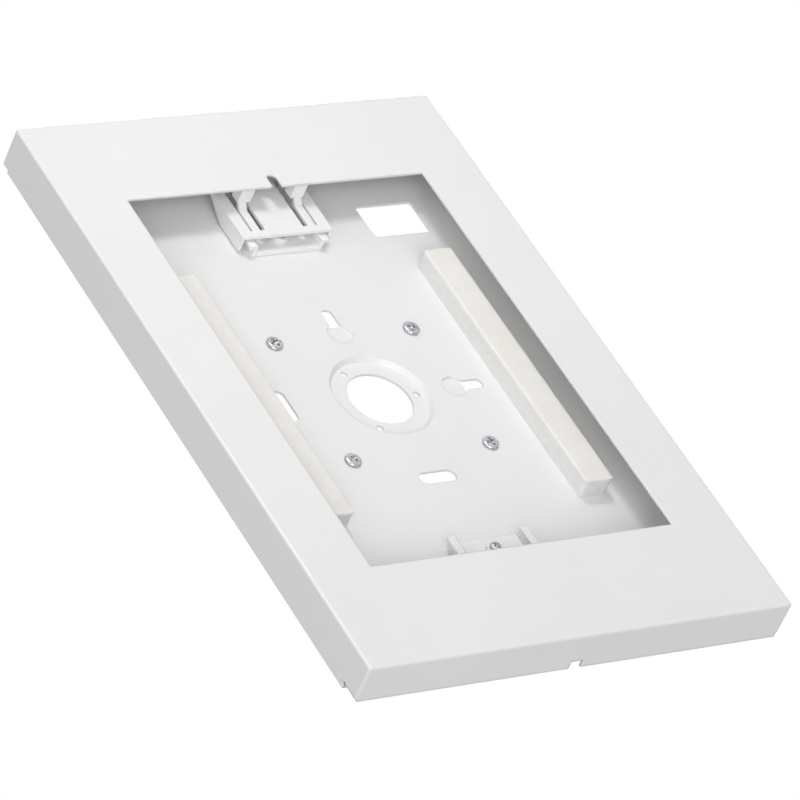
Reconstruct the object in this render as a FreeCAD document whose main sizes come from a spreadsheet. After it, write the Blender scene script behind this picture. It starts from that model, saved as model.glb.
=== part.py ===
import FreeCAD, Part
import math
import os
import Sketcher

# Tablet wall mount: a folded steel tray that screws to a wall plate, and a folded steel front cover
# that hooks over the tray's top edge and locks at its side.
# Every piece is drawn as the mount lies on its back on a bench: X to the right, Y towards the top end,
# Z out of the wall towards the viewer. STANDING then lifts it up the wall: +Z up, the front faces -Y,
# and the origin is the middle of the wall plate's back face.

STANDING = FreeCAD.Placement(FreeCAD.Vector(0, 0, 0), FreeCAD.Rotation(FreeCAD.Vector(1, 0, 0), 90))
HALF_TURN = FreeCAD.Placement(FreeCAD.Vector(0, 0, 0), FreeCAD.Rotation(FreeCAD.Vector(0, 0, 1), 180))
CLOSE = 0.01

# Driving dimensions in millimetres
DIMENSIONS = {
    # Cover: outside size, its middle's height against the screw pattern's, the sheet and its folds
    "case_width": 227.0,
    "case_height": 340.0,
    "case_drop": 2.0,
    "case_depth": 22.0,
    "sheet": 1.2,
    "fold": 1.1,
    "rear_fold": 0.7,
    "corner": 1.2,
    # Viewing window and the camera slot in its upper edge
    "window_width": 162.6,
    "window_height": 232.8,
    "camera_slot_width": 5.2,
    "camera_slot_reach": 7.9,
    # Rear edge of the cover: lips folded inward, and where the walls stand back
    "side_lip": 7.0,
    "top_lip": 5.0,
    "top_lip_width": 180.0,
    "wall_setback": 1.9,
    "end_relief_bottom": 10.0,
    "side_setback": 1.3,
    "lip_relief": 2.2,
    "end_relief_top": 5.6,
    "corner_setback": 4.6,
    "cable_notch_width": 6.4,
    "cable_notch_depth": 4.2,
    "cable_notch_shift": 2.0,
    # Wall plate
    "plate_side": 90.0,
    "plate_thick": 3.0,
    "plate_opening": 52.0,
    "plate_corner": 4.0,
    "wall_hole": 5.0,
    "wall_hole_countersink": 9.0,
    "wall_hole_across": 40.0,
    "wall_hole_up": 72.0,
    # Tray
    "tray_width": 211.0,
    "tray_bottom": 167.0,
    "tray_top": 160.0,
    "tray_corner": 3.0,
    "side_flange": 12.0,
    "end_flange": 8.0,
    "side_flange_ends": 8.0,
    "cable_gap": 24.0,
    "tab_width": 30.0,
    "tab_place": 60.0,
    "tab_rise": 3.8,
    "tab_top": 166.3,
    # Dished middle of the tray with its cable hole
    "dish_rim": 50.0,
    "dish_floor": 46.8,
    "dish_depth": 2.6,
    "dish_wall": 0.9,
    "cable_hole": 32.0,
    "dish_hole": 3.4,
    "dish_hole_circle": 40.0,
    # Screw pattern of the tray on the wall plate
    "pattern": 75.0,
    "screw_clearance": 4.5,
    # Keyholes and slots for hanging the tray straight on a wall
    "keyhole_wide": 12.6,
    "keyhole_narrow": 6.0,
    "keyhole_place": 40.0,
    "keyhole_end": 52.6,
    "slot_length": 19.6,
    "slot_width": 7.0,
    # Opening behind the tablet's own rear camera
    "rear_window_left": 52.4,
    "rear_window_right": 84.3,
    "rear_window_bottom": 98.0,
    "rear_window_top": 118.8,
    "rear_window_corner": 2.2,
    # Foam pads
    "foam_inner": 62.4,
    "foam_width": 16.0,
    "foam_shift": 0.8,
    "foam_bottom": 76.2,
    "foam_top": 77.6,
    "foam_height": 10.3,
    "foam_soft_edge": 0.5,
    # Tablet holders: the base that is screwed down
    "base_near": 93.3,
    "base_far": 135.0,
    "base_half": 19.3,
    "base_floor": 1.8,
    "rail_width": 2.0,
    "rail_height": 6.3,
    "rail_cap": 4.4,
    "rail_cap_thick": 1.8,
    "rail_cap_corner": 1.1,
    "tooth_pitch": 1.25,
    "tooth_depth": 0.7,
    "tooth_gap": 1.1,
    "tooth_start": 94.6,
    "tooth_count": 26.0,
    "holder_screw_place": 102.0,
    "holder_screw_clearance": 3.4,
    "boss": 8.0,
    "boss_height": 4.4,
    # Tablet holders: the slider that rides over the base
    "slider_near": 97.3,
    "slider_length": 40.0,
    "slider_half": 24.8,
    "slider_top": 8.8,
    "slider_wall": 1.6,
    "slider_skirt_gap": 0.8,
    "skirt_straight": 18.2,
    "skirt_slope": 14.0,
    "guide_gap": 0.5,
    "guide_start": 5.0,
    "pawl_gap": 0.4,
    "pawl_width": 1.2,
    "pawl_length": 7.0,
    "finger_middle": 15.2,
    "finger_width": 4.1,
    "finger_root": 4.0,
    "finger_reach": 15.2,
    "finger_inner_slot": 2.8,
    "finger_outer_slot": 1.2,
    "slider_end_bar": 2.0,
    "ramp_foot": 2.2,
    "ramp_run": 2.8,
    "ramp_rise": 2.7,
    "post_middle": 14.55,
    "post_width": 7.1,
    "post_deep": 5.8,
    "post_tall": 7.3,
    "bottom_slider_shift": 10.0,
    # Screws and nuts
    "screw_head": 8.0,
    "screw_head_height": 2.1,
    "screw_shank": 3.9,
    "tray_screw_length": 3.6,
    "tapped_hole": 4.0,
    "holder_screw_head": 5.6,
    "holder_screw_shank": 2.9,
    "nut_hole": 3.0,
    "nut_flats": 5.5,
    "nut_thick": 2.2,
    # Cam lock in the right wall of the cover
    "lock_place": 120.0,
    "lock_depth": 11.0,
    "lock_head": 15.0,
    "lock_head_thick": 1.6,
    "lock_barrel": 12.0,
    "lock_reach": 10.5,
    "lock_core": 8.0,
    "lock_running_gap": 0.05,
    "lock_nut_flats": 15.5,
    "lock_nut_thick": 2.5,
    "lock_face_recess": 0.3,
    "key_slot_length": 5.2,
    "key_slot_width": 1.3,
    "key_slot_depth": 6.0,
    "cam_float": 0.3,
    "cam_thick": 1.5,
    "cam_width": 7.0,
    "cam_reach": 7.5,
    "cam_square": 4.0,
    "cam_screw_head": 6.0,
    "cam_screw_head_thick": 1.6,
    "cam_screw_shank": 2.4,
    "cam_screw_hole": 4.0,
    "cam_screw_length": 3.2,
    "catch_width": 5.5,
    "catch_reach": 7.0,
    "catch_overlap": 3.0,
    "catch_gap": 1.0,
    "catch_clearance": 0.4,
    "lock_way": 20.0,
}


def make_sheet(doc):
    """Spreadsheet with one named cell for each driving dimension."""
    sheet = doc.addObject("Spreadsheet::Sheet", "Dims")
    for row, (name, size) in enumerate(DIMENSIONS.items(), start=1):
        sheet.set(f"A{row}", name)
        sheet.set(f"B{row}", str(size))
        sheet.setAlias(f"B{row}", name)
    doc.recompute()
    return sheet


def named(expression):
    """Expression with each dimension's name pointed at the spreadsheet."""
    words = expression.replace("(", " ( ").replace(")", " ) ").split()
    return " ".join("Dims." + word if word in DIMENSIONS else word for word in words)


def size_of(thing, expression):
    """Number that an expression of dimension names gives."""
    return float(thing.evalExpression(named(expression)))


def start_body(doc, label, placement=STANDING):
    body = doc.addObject("PartDesign::Body", label)
    body.Label = label
    body.Placement = placement
    return body


def add_sketch(body, name, role="XY_Plane", offset="0"):
    """Sketch on one of the body's own planes, moved along that plane's normal."""
    sketch = body.newObject("Sketcher::SketchObject", body.Label + "_" + name)
    plane = next(item for item in body.Origin.OriginFeatures if item.Role == role)
    sketch.AttachmentSupport = [(plane, "")]
    sketch.MapMode = "FlatFace"
    sketch.setExpression("AttachmentOffset.Base.z", named(offset))
    return sketch


def pin_coordinate(sketch, kind, axis, shape, end, expression):
    """Ties one coordinate of a point to a dimension, or to the axis where it is zero."""
    if expression == "0":
        sketch.addConstraint(Sketcher.Constraint("PointOnObject", shape, end, axis))
        return
    size = size_of(sketch, expression)
    index = sketch.addConstraint(Sketcher.Constraint(kind, -1, 1, shape, end, size))
    sketch.setExpression(f"Constraints[{index}]", named(expression))


def pin_point(sketch, shape, end, across, up):
    pin_coordinate(sketch, "DistanceX", -2, shape, end, across)
    pin_coordinate(sketch, "DistanceY", -1, shape, end, up)


def polygon(sketch, points):
    """Closed outline of straight edges through points given as pairs of expressions."""
    places = [FreeCAD.Vector(size_of(sketch, x), size_of(sketch, y), 0) for x, y in points]
    lines = [Part.LineSegment(a, b) for a, b in zip(places, places[1:] + places[:1])]
    ids = sketch.addGeometry(lines, False)
    for this, after in zip(ids, ids[1:] + ids[:1]):
        sketch.addConstraint(Sketcher.Constraint("Coincident", this, 2, after, 1))
    for line, (x, y) in zip(ids, points):
        pin_point(sketch, line, 1, x, y)


def rectangle(sketch, left, right, bottom, top):
    polygon(sketch, [(left, bottom), (right, bottom), (right, top), (left, top)])


def circle(sketch, across, up, diameter):
    centre = FreeCAD.Vector(size_of(sketch, across), size_of(sketch, up), 0)
    radius = size_of(sketch, diameter) / 2
    ring = sketch.addGeometry(Part.Circle(centre, FreeCAD.Vector(0, 0, 1), radius), False)
    pin_point(sketch, ring, 3, across, up)
    index = sketch.addConstraint(Sketcher.Constraint("Diameter", ring, 2 * radius))
    sketch.setExpression(f"Constraints[{index}]", named(diameter))


def obround(sketch, start, end, width):
    """Slot with round ends; start and end are the middles of its round ends."""
    first = FreeCAD.Vector(*(size_of(sketch, value) for value in start), 0)
    last = FreeCAD.Vector(*(size_of(sketch, value) for value in end), 0)
    radius = size_of(sketch, width) / 2
    along = (last - first).normalize()
    side = FreeCAD.Vector(-along.y, along.x, 0) * radius
    angle = math.atan2(along.y, along.x)
    up = FreeCAD.Vector(0, 0, 1)
    half = math.pi / 2
    ids = sketch.addGeometry([
        Part.ArcOfCircle(Part.Circle(first, up, radius), angle + half, angle + 3 * half),
        Part.LineSegment(first - side, last - side),
        Part.ArcOfCircle(Part.Circle(last, up, radius), angle - half, angle + half),
        Part.LineSegment(last + side, first + side),
    ], False)
    tail, right, nose, left = ids
    for one, one_end, other, other_end in ((tail, 2, right, 1), (right, 2, nose, 1),
                                           (nose, 2, left, 1), (left, 2, tail, 1)):
        sketch.addConstraint(Sketcher.Constraint("Tangent", one, one_end, other, other_end))
    sketch.addConstraint(Sketcher.Constraint("Equal", tail, nose))
    pin_point(sketch, tail, 3, *start)
    pin_point(sketch, nose, 3, *end)
    index = sketch.addConstraint(Sketcher.Constraint("Diameter", nose, 2 * radius))
    sketch.setExpression(f"Constraints[{index}]", named(width))


def volume_now(body):
    return body.Shape.Volume if body.Tip else 0.0


def add_feature(body, kind, name, sketch, length, reverse, sign):
    """Pad or pocket of one sketch, with its effect on the body's volume checked."""
    body.Document.recompute()
    before = volume_now(body)
    feature = body.newObject("PartDesign::" + kind, body.Label + "_" + name)
    feature.Profile = sketch
    feature.setExpression("Length", named(length))
    feature.Reversed = reverse
    body.Document.recompute()
    if sign * (body.Shape.Volume - before) <= 0:
        raise RuntimeError(f"{feature.Name} changed nothing")
    return feature


def pad(body, name, sketch, length, reverse=False):
    return add_feature(body, "Pad", name, sketch, length, reverse, 1)


def pocket(body, name, sketch, length, reverse=False):
    return add_feature(body, "Pocket", name, sketch, length, reverse, -1)


def revolve(body, name, sketch):
    """Full turn of a sketch about its own vertical axis."""
    feature = body.newObject("PartDesign::Revolution", body.Label + "_" + name)
    feature.Profile = sketch
    feature.ReferenceAxis = (sketch, ["V_Axis"])
    feature.Angle = 360.0
    body.Document.recompute()
    return feature


def fillet(body, name, chosen, radius):
    """Rounds the edges of the body's last feature that chosen accepts."""
    base = body.Tip
    names = [f"Edge{i}" for i, edge in enumerate(base.Shape.Edges, start=1) if chosen(edge)]
    if not names:
        raise RuntimeError(f"{body.Label}_{name} found no edges")
    feature = body.newObject("PartDesign::Fillet", body.Label + "_" + name)
    feature.Base = (base, names)
    feature.setExpression("Radius", named(radius))
    body.Document.recompute()
    if "Invalid" in feature.State:
        raise RuntimeError(f"{feature.Name} failed")
    return feature


def spans(edge, axis, low, high):
    """True where the edge runs along the axis exactly from low to high."""
    box = edge.BoundBox
    starts = getattr(box, axis + "Min")
    ends = getattr(box, axis + "Max")
    others = [getattr(box, other + "Length") for other in "XYZ" if other != axis]
    return abs(starts - low) < CLOSE and abs(ends - high) < CLOSE and max(others) < CLOSE


def lies_at(edge, axis, place):
    """True where the whole edge lies in the plane at one coordinate."""
    box = edge.BoundBox
    low = getattr(box, axis + "Min")
    high = getattr(box, axis + "Max")
    return abs(low - place) < CLOSE and abs(high - place) < CLOSE


# Heights out of the wall and other places that several pieces share
TRAY_BACK = "plate_thick"
TRAY_FRONT = "( plate_thick + sheet )"
FACE = "( plate_thick + case_depth )"
CASE_TOP = "( case_height / 2 - case_drop )"
CASE_BOTTOM = "( - case_height / 2 - case_drop )"
CASE_SIDE = "( case_width / 2 )"
LOCK_UP = "( - lock_place )"
LOCK_OUT = "( plate_thick + case_depth - lock_depth )"
CORE_LENGTH = "( lock_reach + cam_float )"
CAM_FACE = f"( case_width / 2 - {CORE_LENGTH} )"


def front_cover(doc):
    """Folded sheet with the window, its walls, and lips folded inward at the rear."""
    body = start_body(doc, "front_cover")
    outline = add_sketch(body, "outline", offset=TRAY_BACK)
    rectangle(outline, "- case_width / 2", CASE_SIDE, CASE_BOTTOM, CASE_TOP)
    pad(body, "block", outline, "case_depth")
    back = size_of(body, TRAY_BACK)
    face = size_of(body, FACE)
    fillet(body, "wall_corners", lambda edge: spans(edge, "Z", back, face), "corner")
    fillet(body, "front_fold", lambda edge: lies_at(edge, "Z", face), "fold")

    hollow = add_sketch(body, "hollow", offset=TRAY_BACK)
    rectangle(hollow, "- case_width / 2 + sheet", "case_width / 2 - sheet",
              CASE_BOTTOM + " + sheet", CASE_TOP + " - sheet")
    pocket(body, "inside", hollow, "case_depth - sheet", reverse=True)

    window = add_sketch(body, "window", offset=FACE)
    rectangle(window, "- window_width / 2", "window_width / 2", "- window_height / 2", "window_height / 2")
    pocket(body, "window_cut", window, "2 * sheet")
    camera = add_sketch(body, "camera_slot", offset=FACE)
    tip = "window_height / 2 + camera_slot_reach - camera_slot_width / 2"
    obround(camera, ("0", "window_height / 2 - camera_slot_width"), ("0", tip), "camera_slot_width")
    pocket(body, "camera_cut", camera, "2 * sheet")

    cover_walls_at_rear(body)
    cover_lips(body)
    cover_holes(body)
    return body


def cover_walls_at_rear(body):
    """The end walls and the corners stop short of the rear plane of the long walls."""
    ends = add_sketch(body, "end_relief", offset=TRAY_BACK)
    low_end = CASE_BOTTOM + " + end_relief_bottom"
    rectangle(ends, "- case_width / 2", CASE_SIDE, CASE_BOTTOM, low_end)
    for side in ("-", ""):
        inner = f"{side} ( case_width / 2 - 2 * sheet )"
        outer = f"{side} case_width / 2"
        rectangle(ends, inner, outer, CASE_TOP + " - end_relief_top", CASE_TOP)
    pocket(body, "end_relief_cut", ends, "wall_setback", reverse=True)
    side = add_sketch(body, "side_relief", offset=TRAY_BACK)
    rectangle(side, "- case_width / 2", "- case_width / 2 + sheet", CASE_BOTTOM, low_end)
    pocket(body, "side_relief_cut", side, "wall_setback + side_setback", reverse=True)
    corner = add_sketch(body, "corner_relief", offset=TRAY_BACK)
    rectangle(corner, "case_width / 2 - sheet", CASE_SIDE, CASE_BOTTOM, low_end)
    pocket(body, "corner_relief_cut", corner, "corner_setback", reverse=True)


def cover_lips(body):
    """Lips folded inward at the rear of both long walls and of the top wall."""
    lips = add_sketch(body, "lips", offset=TRAY_BACK)
    low = CASE_BOTTOM + " + end_relief_bottom"
    high = CASE_TOP + " - end_relief_top"
    rectangle(lips, "- case_width / 2 + sheet", "- case_width / 2 + side_lip", low, high)
    rectangle(lips, "case_width / 2 - side_lip", "case_width / 2 - sheet", low, high)
    rectangle(lips, "- top_lip_width / 2", "top_lip_width / 2",
              CASE_TOP + " - top_lip", CASE_TOP + " - sheet")
    pad(body, "lip_sheet", lips, "sheet")
    back = size_of(body, TRAY_BACK)
    side = size_of(body, CASE_SIDE)

    def rear_fold(edge):
        return lies_at(edge, "Z", back) and (lies_at(edge, "X", side) or lies_at(edge, "X", -side))

    fillet(body, "rear_fold", rear_fold, "rear_fold")
    relief = add_sketch(body, "lip_relief", role="YZ_Plane", offset="- case_width / 2 - sheet")
    circle(relief, low, TRAY_BACK + " + wall_setback + side_setback / 2", "lip_relief")
    pocket(body, "lip_relief_cut", relief, "side_lip + 2 * sheet", reverse=True)


def cover_holes(body):
    """Hole for the lock in the right wall and the cable notch in the bottom wall."""
    lock = add_sketch(body, "lock_hole", role="YZ_Plane", offset="case_width / 2 + sheet")
    circle(lock, LOCK_UP, LOCK_OUT, "lock_barrel")
    pocket(body, "lock_hole_cut", lock, "3 * sheet")
    notch = add_sketch(body, "cable_notch", role="XZ_Plane", offset="case_height / 2 + case_drop + sheet")
    left = "cable_notch_shift - cable_notch_width / 2"
    right = "cable_notch_shift + cable_notch_width / 2"
    rectangle(notch, left, right, TRAY_BACK, "plate_thick + wall_setback + cable_notch_depth")
    pocket(body, "cable_notch_cut", notch, "3 * sheet")


def rear_tray(doc):
    """Folded sheet that carries everything: floor, flanges, hook tabs, dish and openings."""
    body = start_body(doc, "rear_tray")
    outline = add_sketch(body, "outline", offset=TRAY_BACK)
    rectangle(outline, "- tray_width / 2", "tray_width / 2", "- tray_bottom", "tray_top")
    pad(body, "floor", outline, "sheet")
    back = size_of(body, TRAY_BACK)
    front = size_of(body, TRAY_FRONT)
    fillet(body, "floor_corners", lambda edge: spans(edge, "Z", back, front), "tray_corner")
    tray_flanges(body)
    tray_hooks(body)
    tray_catch(body)
    tray_dish(body)
    tray_openings(body)
    return body


def tray_flanges(body):
    """Stiffening flanges folded forward on the long sides and the bottom end."""
    sides = add_sketch(body, "side_flanges", offset=TRAY_BACK)
    low = "- tray_bottom + side_flange_ends"
    high = "tray_top - side_flange_ends"
    way_low = LOCK_UP + " - lock_way / 2"
    way_high = LOCK_UP + " + lock_way / 2"
    rectangle(sides, "- tray_width / 2", "- tray_width / 2 + sheet", low, high)
    rectangle(sides, "tray_width / 2 - sheet", "tray_width / 2", low, way_low)
    rectangle(sides, "tray_width / 2 - sheet", "tray_width / 2", way_high, high)
    pad(body, "side_flange_sheet", sides, "side_flange")
    end = add_sketch(body, "end_flange", offset=TRAY_BACK)
    reach = "tray_width / 2 - side_flange_ends"
    for side in ("-", ""):
        outer = f"{side} ( {reach} )"
        inner = f"{side} cable_gap / 2"
        rectangle(end, outer, inner, "- tray_bottom", "- tray_bottom + sheet")
    pad(body, "end_flange_sheet", end, "end_flange")


def tray_hooks(body):
    """Stepped top edge with two tabs that the cover's top lip hangs behind."""
    riser = add_sketch(body, "riser", offset=TRAY_BACK)
    reach = "( tab_place + tab_width / 2 )"
    rectangle(riser, f"- {reach}", reach, "tray_top - sheet", "tray_top")
    pad(body, "riser_sheet", riser, "tab_rise + sheet")
    tabs = add_sketch(body, "tabs", offset=TRAY_BACK + " + tab_rise")
    for side in ("-", ""):
        inner = f"{side} ( tab_place - tab_width / 2 )"
        outer = f"{side} ( tab_place + tab_width / 2 )"
        rectangle(tabs, inner, outer, "tray_top - sheet", "tab_top")
    pad(body, "tab_sheet", tabs, "sheet")


def tray_catch(body):
    """Bracket that the lock's cam turns behind: an upright with a return towards the lock."""
    right = CAM_FACE + " - catch_clearance"
    left = right + " - catch_width"
    near = LOCK_UP + " + cam_reach - catch_overlap"
    far = near + " + catch_reach"
    upright = add_sketch(body, "catch_upright", offset=TRAY_BACK)
    rectangle(upright, left, right, far + " - sheet", far)
    top = LOCK_OUT + " + cam_width / 2 + catch_gap"
    pad(body, "catch_post", upright, top + " + sheet - plate_thick")
    cap = add_sketch(body, "catch_return", offset=top)
    rectangle(cap, left, right, near, far)
    pad(body, "catch_cap", cap, "sheet")


def tray_dish(body):
    """Round dish pressed towards the wall, with the cable hole in its floor."""
    rim = add_sketch(body, "dish_rim", offset=TRAY_FRONT)
    circle(rim, "0", "0", "dish_rim + 2 * dish_wall")
    pocket(body, "dish_cut", rim, "2 * sheet")
    section = add_sketch(body, "dish_section", role="XZ_Plane")
    rim_radius = "( dish_rim / 2 + dish_wall )"
    low_front = TRAY_FRONT + " - dish_depth"
    low_back = TRAY_BACK + " - dish_depth"
    polygon(section, [
        (rim_radius, TRAY_FRONT),
        ("dish_rim / 2", TRAY_FRONT),
        ("dish_floor / 2", low_front),
        ("cable_hole / 2", low_front),
        ("cable_hole / 2", low_back),
        ("dish_floor / 2 + dish_wall", low_back),
        (rim_radius, TRAY_BACK),
    ])
    revolve(body, "dish", section)
    small = add_sketch(body, "dish_hole", offset=TRAY_FRONT)
    circle(small, "dish_hole_circle / 2", "0", "dish_hole")
    hole = pocket(body, "dish_hole_cut", small, "dish_depth + 2 * sheet")
    ring = body.newObject("PartDesign::PolarPattern", "rear_tray_dish_holes")
    ring.Originals = [hole]
    ring.Axis = (small, ["N_Axis"])
    ring.Angle = 360.0
    ring.Occurrences = 3
    body.Tip = ring
    body.Document.recompute()


def tray_openings(body):
    """Screw holes, keyholes, slots and the opening behind the tablet's camera."""
    round_holes = add_sketch(body, "round_holes", offset=TRAY_FRONT)
    for across in ("-", ""):
        for up in ("-", ""):
            circle(round_holes, f"{across} pattern / 2", f"{up} pattern / 2", "screw_clearance")
    for up in ("-", ""):
        circle(round_holes, "0", f"{up} holder_screw_place", "holder_screw_clearance")
    circle(round_holes, "0", "keyhole_place", "keyhole_wide")
    circle(round_holes, "keyhole_place", "0", "keyhole_wide")
    pocket(body, "round_hole_cut", round_holes, "2 * sheet")

    slots = add_sketch(body, "slots", offset=TRAY_FRONT)
    half = "( slot_length - slot_width ) / 2"
    obround(slots, ("0", "keyhole_place"), ("0", "keyhole_end"), "keyhole_narrow")
    obround(slots, ("keyhole_place", "0"), ("keyhole_end", "0"), "keyhole_narrow")
    obround(slots, ("- " + half, "- keyhole_end"), (half, "- keyhole_end"), "slot_width")
    obround(slots, ("- keyhole_end", "- " + half), ("- keyhole_end", half), "slot_width")
    pocket(body, "slot_cut", slots, "2 * sheet")

    opening = add_sketch(body, "rear_window", offset=TRAY_FRONT)
    rectangle(opening, "rear_window_left", "rear_window_right", "rear_window_bottom", "rear_window_top")
    pocket(body, "rear_window_cut", opening, "2 * sheet")
    back = size_of(body, TRAY_BACK)
    front = size_of(body, TRAY_FRONT)
    left = size_of(body, "rear_window_left")
    right = size_of(body, "rear_window_right")
    low = size_of(body, "rear_window_bottom")

    def window_corner(edge):
        across = edge.BoundBox.Center.x
        at_side = min(abs(across - left), abs(across - right)) < CLOSE
        return spans(edge, "Z", back, front) and at_side and edge.BoundBox.Center.y > low - CLOSE

    fillet(body, "rear_window_corners", window_corner, "rear_window_corner")


def wall_plate(doc):
    """Square plate that is screwed to the wall first and carries the tray."""
    body = start_body(doc, "wall_plate")
    outline = add_sketch(body, "outline")
    rectangle(outline, "- plate_side / 2", "plate_side / 2", "- plate_side / 2", "plate_side / 2")
    half = "plate_opening / 2"
    rectangle(outline, "- " + half, half, "- " + half, half)
    pad(body, "plate", outline, "plate_thick")
    thick = size_of(body, "plate_thick")
    side = size_of(body, "plate_side / 2")

    def outer_corner(edge):
        return spans(edge, "Z", 0, thick) and abs(abs(edge.BoundBox.Center.x) - side) < CLOSE

    fillet(body, "plate_corners", outer_corner, "plate_corner")
    tapped = add_sketch(body, "tapped_holes", offset="plate_thick")
    for across in ("-", ""):
        for up in ("-", ""):
            circle(tapped, f"{across} pattern / 2", f"{up} pattern / 2", "tapped_hole")
    pocket(body, "tapped_hole_cut", tapped, "2 * plate_thick")
    places = add_sketch(body, "wall_holes", offset="plate_thick")
    for across in ("-", ""):
        for up in ("-", ""):
            circle(places, f"{across} wall_hole_across / 2", f"{up} wall_hole_up / 2", "wall_hole")
    doc.recompute()
    holes = body.newObject("PartDesign::Hole", "wall_plate_wall_hole_cut")
    holes.Profile = places
    holes.DepthType = "ThroughAll"
    holes.Threaded = False
    holes.setExpression("Diameter", named("wall_hole"))
    holes.HoleCutType = "Countersink"
    holes.HoleCutCustomValues = True
    holes.setExpression("HoleCutDiameter", named("wall_hole_countersink"))
    holes.HoleCutCountersinkAngle = 90.0
    doc.recompute()
    return body


def foam_pad(doc, label, side):
    """Soft strip that the tablet's back rests on, stuck to the tray's floor."""
    body = start_body(doc, label)
    outline = add_sketch(body, "outline", offset=TRAY_FRONT)
    inner = f"foam_shift {side} foam_inner"
    outer = f"foam_shift {side} ( foam_inner + foam_width )"
    rectangle(outline, inner, outer, "- foam_bottom", "foam_top")
    pad(body, "strip", outline, "foam_height")
    top = size_of(body, TRAY_FRONT + " + foam_height")
    fillet(body, "soft_edge", lambda edge: lies_at(edge, "Z", top), "foam_soft_edge")
    return body


def holder_base(doc, label, placement):
    """Moulded base of a holder: a floor, two toothed rails with overhanging caps and a screw boss."""
    body = start_body(doc, label, placement)
    outline = add_sketch(body, "outline", offset=TRAY_FRONT)
    rectangle(outline, "- base_half", "base_half", "base_near", "base_far")
    pad(body, "floor", outline, "base_floor")

    rails = add_sketch(body, "rails", offset=TRAY_FRONT)
    caps = add_sketch(body, "caps", offset=TRAY_FRONT + " + rail_height - rail_cap_thick")
    for side in ("-", ""):
        inner = f"{side} ( base_half - rail_width )"
        rectangle(rails, inner, f"{side} base_half", "base_near", "base_far")
        outer = f"{side} ( base_half - rail_width + rail_cap )"
        rectangle(caps, inner, outer, "base_near", "base_far")
    pad(body, "rail", rails, "rail_height")
    pad(body, "rail_caps", caps, "rail_cap_thick")
    low = size_of(body, TRAY_FRONT + " + rail_height - rail_cap_thick")
    high = size_of(body, TRAY_FRONT + " + rail_height")
    near = size_of(body, "base_near")

    def near_cap_corner(edge):
        return spans(edge, "Z", low, high) and abs(edge.BoundBox.Center.y - near) < CLOSE

    fillet(body, "cap_corners", near_cap_corner, "rail_cap_corner")

    teeth = add_sketch(body, "teeth", offset=TRAY_FRONT + " + rail_height")
    for side in ("-", ""):
        face = f"{side} ( base_half - rail_width )"
        root = f"{side} ( base_half - rail_width + tooth_depth )"
        overrun = f"{side} ( base_half - rail_width - tooth_depth / 4 )"
        crest = "tooth_start + tooth_gap"
        polygon(teeth, [(overrun, "tooth_start"), (root, "tooth_start"), (face, crest), (overrun, crest)])
    gap = pocket(body, "tooth_gap", teeth, "rail_height - base_floor")
    row = body.newObject("PartDesign::LinearPattern", label + "_tooth_row")
    row.Originals = [gap]
    row.Direction = (teeth, ["V_Axis"])
    row.setExpression("Length", named("tooth_pitch * ( tooth_count - 1 )"))
    row.Occurrences = int(DIMENSIONS["tooth_count"])
    body.Tip = row
    doc.recompute()

    boss = add_sketch(body, "boss", offset=TRAY_FRONT)
    circle(boss, "0", "holder_screw_place", "boss")
    pad(body, "boss_post", boss, "boss_height")
    hole = add_sketch(body, "screw_hole", offset=TRAY_FRONT + " + boss_height")
    circle(hole, "0", "holder_screw_place", "holder_screw_clearance")
    pocket(body, "screw_hole_cut", hole, "2 * boss_height")
    return body


def holder_slider(doc, label, placement):
    """Moulded slider: a plate with skirts, two spring fingers and their posts."""
    body = start_body(doc, label, placement)
    top = "( plate_thick + sheet + slider_top )"
    under = "( plate_thick + sheet + slider_top - slider_wall )"
    far = "slider_near + slider_length"
    plate = add_sketch(body, "plate", offset=under)
    rectangle(plate, "- slider_half", "slider_half", "slider_near", far)
    pad(body, "top_plate", plate, "slider_wall")
    slider_skirts(body, under)
    slider_guides(body, under)
    slider_fingers(body, top)
    slider_posts(body, top, under)
    return body


def slider_skirts(body, under):
    """Side skirts with a straight lower edge that slopes up behind."""
    low = "( plate_thick + sheet + slider_skirt_gap )"
    near = "slider_near"
    bend = "( slider_near + skirt_straight )"
    skirts = add_sketch(body, "skirts", role="YZ_Plane", offset="- slider_half")
    polygon(skirts, [(near, low), (bend, low), (bend + " + skirt_slope", under), (near, under)])
    left = pad(body, "left_skirt", skirts, "slider_wall")
    both = body.newObject("PartDesign::Mirrored", body.Label + "_both_skirts")
    both.Originals = [left]
    both.MirrorPlane = (next(item for item in body.Origin.OriginFeatures if item.Role == "YZ_Plane"), [""])
    body.Tip = both
    body.Document.recompute()


def slider_guides(body, under):
    """Lips on the skirts that run under the rails' caps, and pawls that click along the teeth."""
    low = "slider_skirt_gap"
    lips = add_sketch(body, "lips", offset=f"( {TRAY_FRONT} + {low} )")
    for side in ("-", ""):
        inner = f"{side} ( base_half + guide_gap )"
        outer = f"{side} ( slider_half - slider_wall )"
        rectangle(lips, inner, outer, "slider_near + guide_start", "slider_near + skirt_straight")
    pad(body, "guide_lips", lips, f"rail_height - rail_cap_thick - guide_gap - {low}")
    pawls = add_sketch(body, "pawls", offset=under)
    end = "slider_near + finger_root + finger_reach"
    for side in ("-", ""):
        tip = f"{side} ( base_half - rail_width - pawl_gap )"
        heel = f"{side} ( base_half - rail_width - pawl_gap - pawl_width )"
        polygon(pawls, [(heel, end + " - pawl_length"), (tip, end), (heel, end)])
    pad(body, "pawl_noses", pawls, "rail_height - base_floor", reverse=True)


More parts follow.
